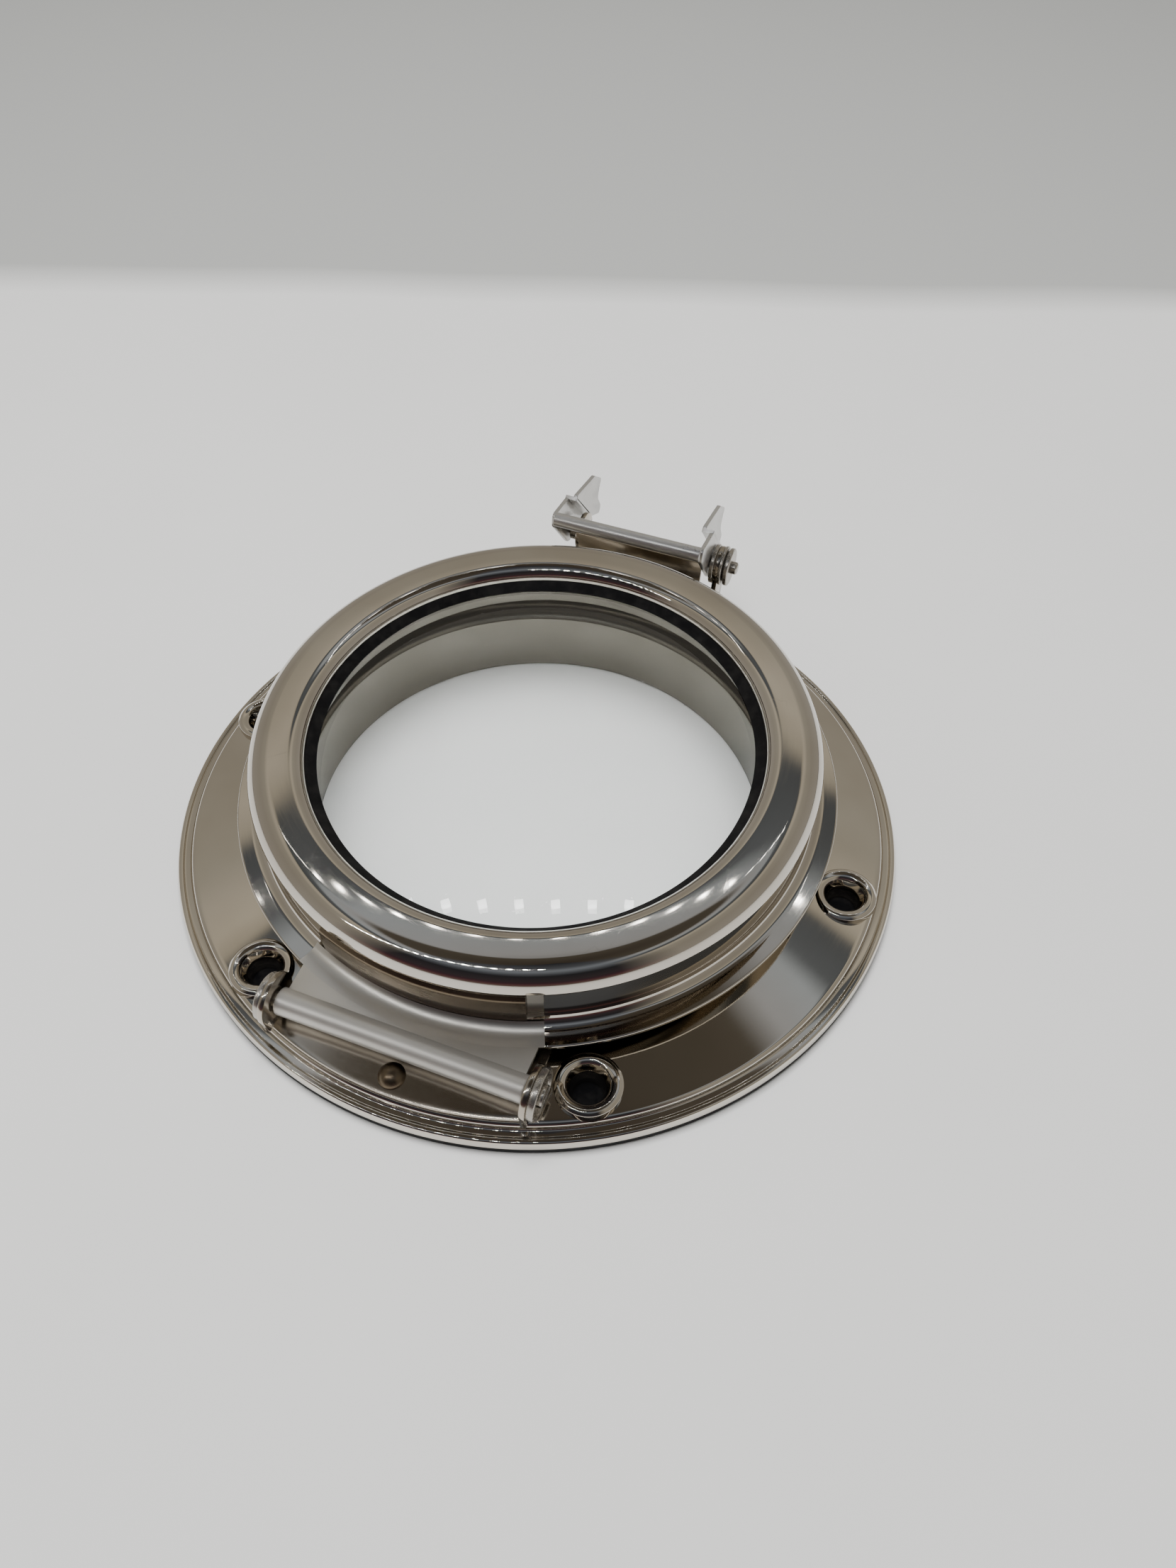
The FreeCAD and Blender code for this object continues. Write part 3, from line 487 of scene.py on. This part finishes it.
strap_line = [(70.65, 17.4), (72.0, 17.3, 0.4), (72.45, 22.0, 6.0), (72.3, 26.3, 1.2), (71.3, 27.4, 0.6),
              (70.65, 27.4)]
strap_data = lathe_data(rounded(strap_line, True, 8), 80, start=-110.5, sweep=41.0)
# the strap's dark brown is painted dark reflection
make("neck_strap_band", *strap_data, "lid", "polished_steel", STEEL_PAINTED_DARK_REFLECTION, ajar=True, replaces=["neck_strap"])
lathe("glass_channel", [
    (54.9, 28.85), (57.3, 30.45, 0.5), (58.7, 30.45), (58.7, 31.0), (60.5, 32.9), (64.15, 32.9), (64.15, 22.55),
    (59.8, 22.55), (59.8, 23.6), (62.1, 23.6), (62.1, 28.85)], "lid", "black_rubber", RUBBER, ajar=True,
    replaces=["glazing_gasket"])
# the retaining ring is tinted dark as painted shade
lathe("glass_retaining_ring", [
    (58, 19.9, 0.3), (59.2, 19.9, 0.3), (59.2, 21.2), (69.25, 21.2), (69.25, 22.4), (59.2, 22.4), (59.2, 23.5),
    (58, 23.5, 0.4)], "lid", "brushed_steel", BRUSHED_WALL_PAINTED_SHADE, ajar=True, replaces=["glass_retainer"])
lathe("seal_ring", [(61.6, 19.4, 0.6), (66, 19.4, 0.6), (66, 21.2), (61.6, 21.2)], "lid", "black_rubber",
      RUBBER, ajar=True, replaces=["lid_seal"])


# ---------------------------------------------------------------- hinge

PLATE = 1.2                            # sheet thickness of the two plates that lie on the dome


def cone_plate_data(inner, outer, half, side):
    """Sheet lying on the dome: a strip of the cone with rounded front edge and closed sides."""
    rise = PLATE / math.cos(DOME_FALL)
    columns, steps = 56, 21
    section = [(r, dome_top(r) + rise) for r in (inner + (outer - inner) * k / steps for k in range(steps))]
    section += [(outer - 0.25, dome_top(outer) + rise * 0.93), (outer, dome_top(outer) + rise * 0.55),
                (outer, dome_top(outer) + 0.03), (inner, dome_top(inner) + 0.03)]
    verts = []
    count = columns + 1
    for r, z in section:
        for j in range(count):
            x = -half + 2 * half * j / columns
            verts.append((x, side * math.sqrt(r * r - x * x), z))
    faces = grid_faces(len(section), count, True, False)
    faces.append(tuple(i * count for i in range(len(section))))
    faces.append(tuple(i * count + columns for i in reversed(range(len(section)))))
    return verts, faces


EAR_SHEET = 1.5                        # thickness of the hinge's ears and the latch's lugs
ear = [(-86.8, 7.3)] + arc(HINGE_Y, HINGE_Z, 6.5, 195, -15, 40) + [(-73.8, 9.1)]
ears = [cone_plate_data(75.0, 90.8, 31.2, -1)]
for x0 in (-32.7, 31.2):
    ears.append(plate_data(ear, x0, x0 + EAR_SHEET, 0.3))
make("hinge_plate", *joined(ears), "base", "polished_steel", SATIN_PLATE, replaces=["hinge_bracket"])
x_turned("hinge_pin_body", [
    (-34.5, 0), (-34.5, 4.9, 0.3), (-34.2, 5.8, 0.3), (-33.3, 5.8, 0.2), (-32.72, 5.6, 0.1), (-32.72, 2.0),
    (32.68, 2.0), (32.68, 0)], HINGE_Y, HINGE_Z, "base", "satin_hardware", HARDWARE, replaces=["hinge_pin"])

screw = x_turned_data([
    (32.72, 0), (32.72, 6.0, 0.2), (33.4, 6.1, 0.15), (34.45, 6.1, 0.35), (34.5, 5.2, 0.15), (33.75, 4.6, 0.2),
    (33.7, 3.3, 0.2), (33.9, 0)], HINGE_Y, HINGE_Z, 72)
# the screw's boss is two half rounds with the slot between them
BOSS_RADIUS, SLOT_HALF = 2.7, 0.5
slot_angle = math.asin(SLOT_HALF / BOSS_RADIUS)
boss = []
for up in (1, -1):
    points = [(HINGE_Y + BOSS_RADIUS * math.cos(a), HINGE_Z + up * BOSS_RADIUS * math.sin(a))
              for a in np.linspace(slot_angle, math.pi - slot_angle, 24)]
    boss.append(plate_data(points, 33.6, 35.15, 0.25))
make("hinge_slotted_screw", *joined([screw] + boss), "base", "satin_hardware", HARDWARE,
     replaces=["hinge_pin_screw"])


def rivet_data(across, along):
    """Domed rivet head, square to the dome, on the plate at (across, along)."""
    seat = dome_top(math.hypot(across, along)) + PLATE / math.cos(DOME_FALL)
    line = [(0.001, 2.0)] + arc(0.0, -1.56, 3.56, 86, 29, 12) + [(3.2, 0.12), (3.15, 0.0), (0.001, 0.0)]
    verts, faces = lathe_data(line, 48)
    tilt = Matrix.Rotation(DOME_FALL, 3, Vector((-along, across, 0)))
    spot = Vector((across, along, seat))
    return [tuple(tilt @ Vector(v) + spot) for v in verts], faces


# the rivet's dark brown is painted shade and dark reflection
make("hinge_rivet", *rivet_data(0, -86.4), "base", "satin_hardware", STEEL_PAINTED_DARK_REFLECTION,
     replaces=["hinge_bracket_rivet"])


# ---------------------------------------------------------------- latch

make("latch_rivets", *joined([rivet_data(-12, 85.6), rivet_data(12, 85.6)]), "base", "satin_hardware", HARDWARE,
     replaces=["latch_bracket_rivets"])
foot = cone_plate_data(79.45, 90.55, 22.4, 1)
web = plate_data([(80.6, 7.95), (81.8, 7.8), (83.2, 22.4), (83.15, 22.8), (82.1, 22.9), (82.0, 22.6)],
                 -22.3, 22.3, 0.2)
apron = plate_data([(82.0, 22.0), (83.2, 22.0), (84.15, 31.3), (84.1, 31.6), (83.1, 31.6), (83.0, 31.3)],
                   -21.2, 17.4, 0.2)
lug = [(81.05, 7.9), (82.5, 22.4)] + arc(LATCH_Y, LATCH_Z, 5.6, 205, -19, 32) + [(87.0, 7.4)]
bracket = [foot, web, apron] + [plate_data(lug, x0, x0 + EAR_SHEET, 0.3) for x0 in (-22.4, 20.9)]
make("latch_bracket_plate", *joined(bracket), "base", "brushed_steel", SATIN_PLATE, replaces=["latch_bracket"])

x_turned("latch_pin_body", [(-27.9, 0), (-27.9, 2.4, 0.4), (-27.0, 2.9, 0.3), (-27.0, 1.85), (26.6, 1.85, 0.3),
                            (27.0, 1.4, 0.2), (27.0, 0)], LATCH_Y, LATCH_Z, "base", "satin_hardware", HARDWARE,
         replaces=["latch_pin"])


def washer(name, radius, start, end, target):
    """Turned ring on the latch pin, between two places on X."""
    corners = [(start, 2.0), (start, radius - 0.1, 0.25), (start + 0.15, radius, 0.1), (end - 0.3, radius, 0.2),
               (end, radius - 0.4, 0.2), (end, 2.0)]
    x_turned(name, corners, LATCH_Y, LATCH_Z, "base", "satin_hardware", HARDWARE, replaces=[target])


washer("washer_inner", 5.8, 19.62, 20.88, "latch_inner_washer")
washer("washer_outer", 5.8, 22.42, 23.38, "latch_outer_washer")
washer("washer_spring", 4.6, 23.42, 23.88, "latch_spring_washer")
washer("pin_nut", 5.6, 23.92, 25.2, "latch_pin_nut")
washer("spacer_tube", 3.2, -25.05, -22.45, "latch_spacer")

BAIL_SHEET = 1.3
ARM = rounded([(75.0, 38.2, 1.6), (75.5, 42.2, 1.6), (86, 41), (98.3, 26.7, 0.5), (91.5, 24.4, 3),
               (85.5, 25.1, 3.5)], True)
# the step joins each arm to its wing, which stands further in or out
STEP = [(85.7, 40.8), (86.5, 41.6), (99.0, 27.1), (98.2, 26.3)]
WING = rounded([(86, 41, 0.3), (87, 42, 0.6), (101.5, 39.4, 1.0), (107.2, 35.0, 0.7), (104.3, 29.8, 3.0),
                (107.3, 25.0, 1.6), (105.8, 22.7, 1.0), (98.3, 26.5, 0.5)], True)
bail = [x_turned_data([(-26.0, 0), (-26.0, 2.0, 0.4), (18.6, 2.1, 0.4), (18.6, 0)], 76, 40.3, 48)]
for arm_at, step_at, wing_at in ((-26.7, -26.7, -24.3), (18.0, 15.6, 15.6)):
    bail.append(plate_data(ARM, arm_at, arm_at + BAIL_SHEET, 0.3))
    bail.append(plate_data(STEP, step_at, step_at + 3.7, 0.3))
    bail.append(plate_data(WING, wing_at, wing_at + BAIL_SHEET, 0.3))
make("bail_sheet", *joined(bail), "bail", "satin_sheet", SHEET, replaces=["latch_bail"])


# ---------------------------------------------------------------- the CAD node that stays

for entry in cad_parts["glass_pane"].material_slots:
    entry.link = "OBJECT"
    entry.material = GLASS


# ---------------------------------------------------------------- stage, light and camera

HEADING = math.radians(110.0)          # level direction in which the camera looks
LEVEL_RIGHT = Vector((math.sin(HEADING), -math.cos(HEADING), 0))
CAMERA_AT = Vector((83.05, -190.38, 255.61)) * MM
CAMERA_DOWN = math.radians(49.19)
CAMERA_ROLL = 0.022093
BACKDROP_FROM_CAMERA = 0.50
ROOM_FRONT = math.radians(-80)         # level direction of the dim side of the room
FLOOR_HALF = 3.0


def floor_material():
    """Pale board, a shade darker beyond the line where the backdrop rises."""
    material, tree, shader = new_material("stage_board")
    coords = node(tree, "ShaderNodeTexCoord").outputs["Object"]
    x, y, z = split_xyz(tree, coords)
    ahead = level_distance(tree, x, y, HEADING)
    line = BACKDROP_FROM_CAMERA + CAMERA_AT.x * math.cos(HEADING) + CAMERA_AT.y * math.sin(HEADING)
    wobble = maths(tree, "MULTIPLY", maths(tree, "SUBTRACT", noise(tree, coords, 5.0, 1.0), 0.5), 0.02)
    beyond = remap(tree, maths(tree, "ADD", ahead, wobble), line - 0.008, line + 0.016, 0, 1)
    mottle = noise(tree, coords, 7.0, 5.0, 0.6)
    near = mixed(tree, remap(tree, mottle, 0.3, 0.7, 0, 1), (0.74, 0.74, 0.73), (0.77, 0.77, 0.76))
    made = node(tree, "ShaderNodeMix", data_type="RGBA")
    tree.links.new(beyond, made.inputs[0])
    tree.links.new(near, made.inputs[6])
    made.inputs[7].default_value = (0.415, 0.42, 0.41, 1)
    tree.links.new(made.outputs[2], shader.inputs["Base Color"])
    shader.inputs["Roughness"].default_value = 0.7
    shader.inputs["Specular IOR Level"].default_value = 0.2
    return material


def floor():
    mesh = bpy.data.meshes.new("stage_floor")
    corners = [(-FLOOR_HALF, -FLOOR_HALF, 0), (FLOOR_HALF, -FLOOR_HALF, 0), (FLOOR_HALF, FLOOR_HALF, 0),
               (-FLOOR_HALF, FLOOR_HALF, 0)]
    mesh.from_pydata(corners, [], [(0, 1, 2, 3)])
    mesh.materials.append(floor_material())
    board = bpy.data.objects.new("stage_floor", mesh)
    bpy.context.scene.collection.objects.link(board)


def ramp(tree, value, stops):
    """Colour by value, from (place, colour) stops."""
    made = node(tree, "ShaderNodeValToRGB")
    band = made.color_ramp
    band.interpolation = "LINEAR"
    while len(band.elements) < len(stops):
        band.elements.new(0.5)
    for element, (place, colour) in zip(band.elements, stops):
        element.position = place
        element.color = (*colour, 1)
    tree.links.new(value, made.inputs[0])
    return made.outputs[0]


def room_light():
    """The tent and the room as the steel sees them: pale walls, a dark gap above, a dim front side."""
    world = bpy.data.worlds.new("studio")
    bpy.context.scene.world = world
    world.use_nodes = True
    tree = world.node_tree
    back = tree.nodes["Background"]
    x, y, z = split_xyz(tree, node(tree, "ShaderNodeTexCoord").outputs["Generated"])
    height = remap(tree, maths(tree, "ARCSINE", z), 0.0, math.pi / 2, 0.0, 1.0)

    def el(degrees):
        """Place on a ramp of an elevation in degrees."""
        return degrees / 90

    tent = ramp(tree, height, [
        (0.0, (0.40, 0.375, 0.335)), (el(30), (0.36, 0.335, 0.29)), (el(44), (0.40, 0.375, 0.32)),
        (el(50), (0.58, 0.53, 0.44)), (el(51.8), (0.48, 0.44, 0.36)), (el(52.8), (0.10, 0.108, 0.118)),
        (el(57), (0.13, 0.142, 0.155)), (el(59), (0.42, 0.46, 0.50)), (el(63.5), (0.42, 0.43, 0.45)),
        (el(67), (0.10, 0.088, 0.07)), (1.0, (0.06, 0.05, 0.04))])
    front = ramp(tree, height, [
        (0.0, (0.20, 0.15, 0.135)), (el(6), (0.12, 0.055, 0.06)), (el(13), (0.06, 0.033, 0.042)),
        (el(20), (0.05, 0.04, 0.045)), (el(40), (0.03, 0.03, 0.035)), (el(48), (0.10, 0.11, 0.13)),
        (el(60), (0.24, 0.27, 0.32)), (el(70), (0.10, 0.11, 0.13)), (1.0, (0.03, 0.03, 0.035))])
    level = level_length(tree, x, y)
    facing = maths(tree, "DIVIDE", level_distance(tree, x, y, ROOM_FRONT), maths(tree, "MAXIMUM", level, 0.001))
    share = remap(tree, facing, 0.55, 0.8, 0, 1)
    tree.links.new(mixed_sockets(tree, share, tent, front), back.inputs["Color"])
    # seen directly, the room is one plain pale backdrop
    plain = node(tree, "ShaderNodeBackground")
    plain.inputs["Color"].default_value = (0.62, 0.62, 0.61, 1)
    blend = node(tree, "ShaderNodeMixShader")
    tree.links.new(node(tree, "ShaderNodeLightPath").outputs["Is Camera Ray"], blend.inputs[0])
    tree.links.new(back.outputs[0], blend.inputs[1])
    tree.links.new(plain.outputs[0], blend.inputs[2])
    tree.links.new(blend.outputs[0], tree.nodes["World Output"].inputs["Surface"])


def square_lamp(name, at, target, side, watts):
    lamp = bpy.data.lights.new(name, "AREA")
    lamp.shape = "RECTANGLE"
    lamp.size = side
    lamp.size_y = side
    lamp.energy = watts
    made = bpy.data.objects.new(name, lamp)
    bpy.context.scene.collection.objects.link(made)
    made.location = at
    made.rotation_euler = (Vector(target) - Vector(at)).to_track_quat("-Z", "Y").to_euler()
    return made


def led_row(name, middle, length, count, watts):
    """Row of small lamps across the camera's view, as one LED strip of the tent's roof."""
    for k in range(count):
        at = Vector(middle) + LEVEL_RIGHT * (length * (k / (count - 1) - 0.5))
        square_lamp(f"{name}_{k}", at, (0, 0, 0.02), 0.006, watts / count)


def camera():
    level = math.cos(CAMERA_DOWN)
    ahead = Vector((math.cos(HEADING) * level, math.sin(HEADING) * level, -math.sin(CAMERA_DOWN)))
    level_up = LEVEL_RIGHT.cross(ahead)
    right = LEVEL_RIGHT * math.cos(CAMERA_ROLL) + level_up * math.sin(CAMERA_ROLL)
    up = level_up * math.cos(CAMERA_ROLL) - LEVEL_RIGHT * math.sin(CAMERA_ROLL)
    data = bpy.data.cameras.new("camera")
    data.sensor_width = 36.0
    data.lens = 27.67
    data.clip_start = 0.01
    made = bpy.data.objects.new("camera", data)
    bpy.context.scene.collection.objects.link(made)
    made.matrix_world = Matrix((
        (right.x, up.x, -ahead.x, CAMERA_AT.x), (right.y, up.y, -ahead.y, CAMERA_AT.y),
        (right.z, up.z, -ahead.z, CAMERA_AT.z), (0, 0, 0, 1)))
    bpy.context.scene.camera = made


floor()
room_light()
led_row("light_back", (-0.108, 0.195, 0.50), 0.52, 22, 0.06)
led_row("light_front", (-0.16, -0.30, 0.43), 0.50, 20, 0.4)
# the soft lamp lights matt surfaces only, so that it doesn't show as a square in the steel
square_lamp("light_soft", (-0.1, 0.1, 1.4), (0, 0, 0), 0.7, 28.0).visible_glossy = False
camera()
